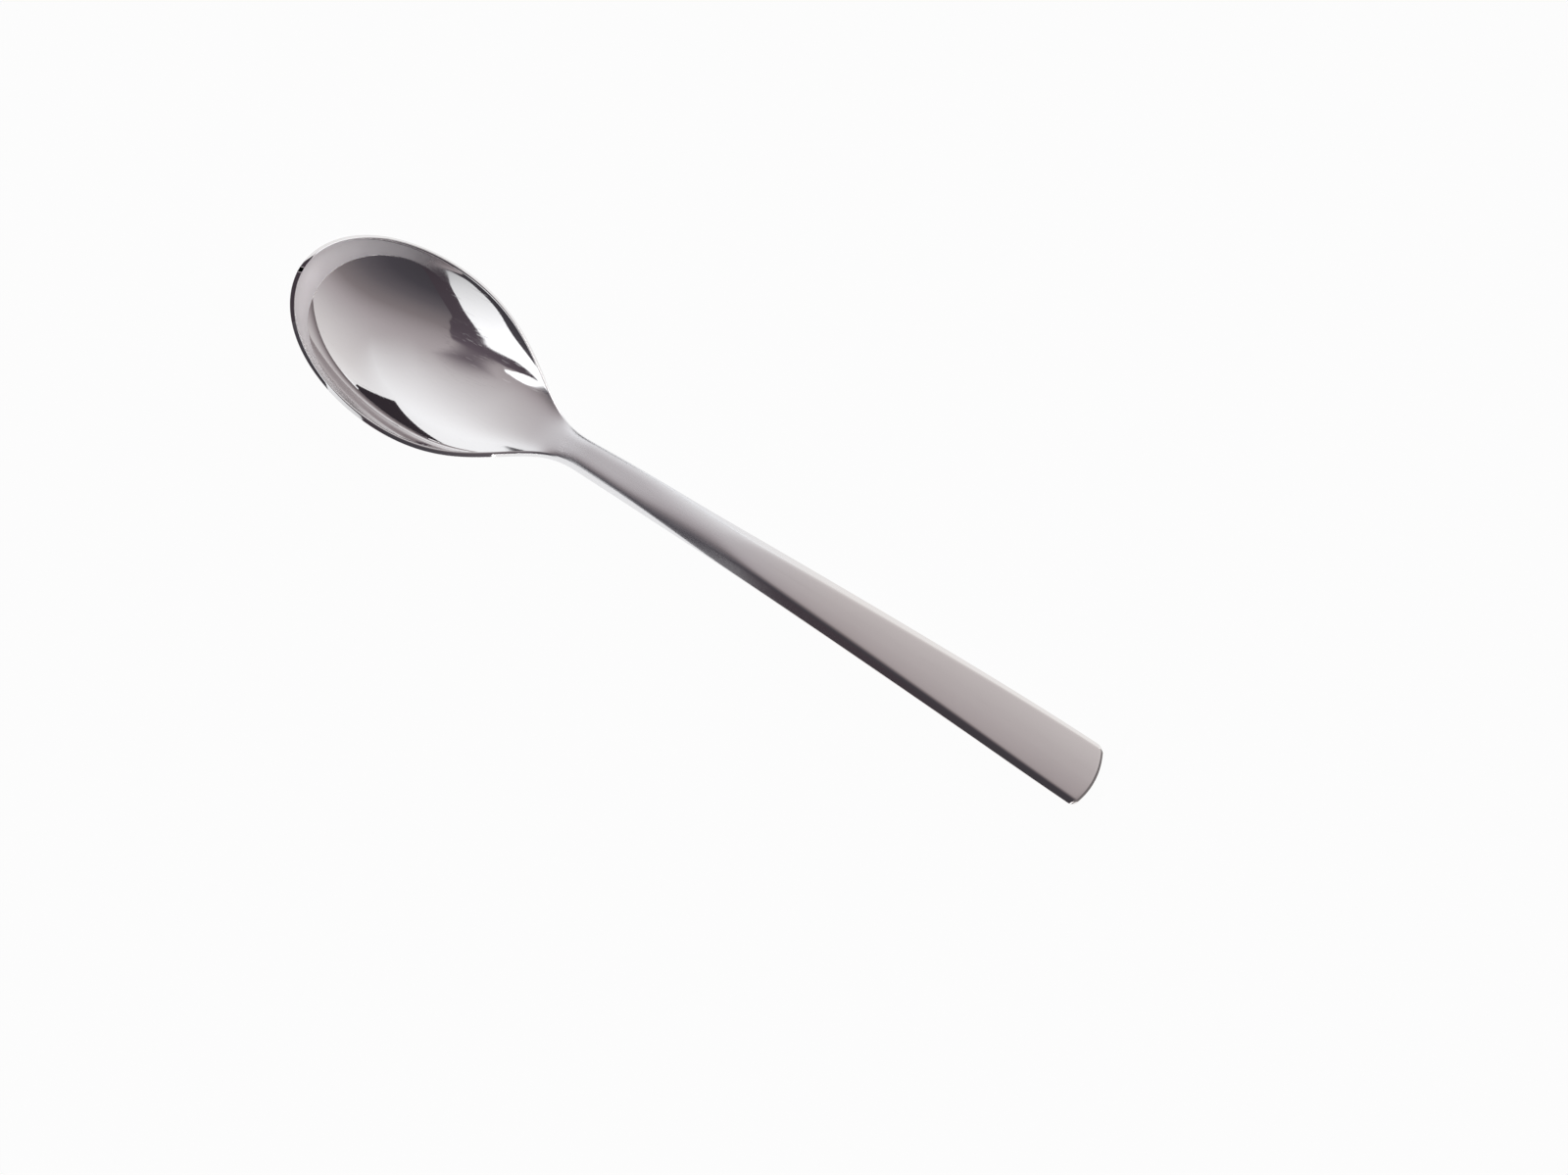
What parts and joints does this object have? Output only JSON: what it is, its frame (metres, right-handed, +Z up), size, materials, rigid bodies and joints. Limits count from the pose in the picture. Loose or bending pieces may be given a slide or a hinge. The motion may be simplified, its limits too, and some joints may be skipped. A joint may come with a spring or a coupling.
{
  "type": "dessert spoon",
  "caption": "Stainless steel dessert spoon with an egg-shaped polished bowl, a slim round neck and a plain satin handle that widens and flattens to a gently bowed end.",
  "frame": {"origin": "middle of the spoon's length and width, on the surface that it lies on", "axes": "+X along the spoon from the bowl's tip to the handle's end, +Z up out of the bowl"},
  "size_m": [0.185, 0.0374, 0.0117],
  "materials": {
    "polished_steel": "mirror polished stainless steel",
    "satin_steel": "fine satin polished stainless steel"
  },
  "bodies": {
    "root": {"bowl": "polished_steel", "neck": "satin_steel", "handle": "satin_steel"}
  },
  "joints": []
}
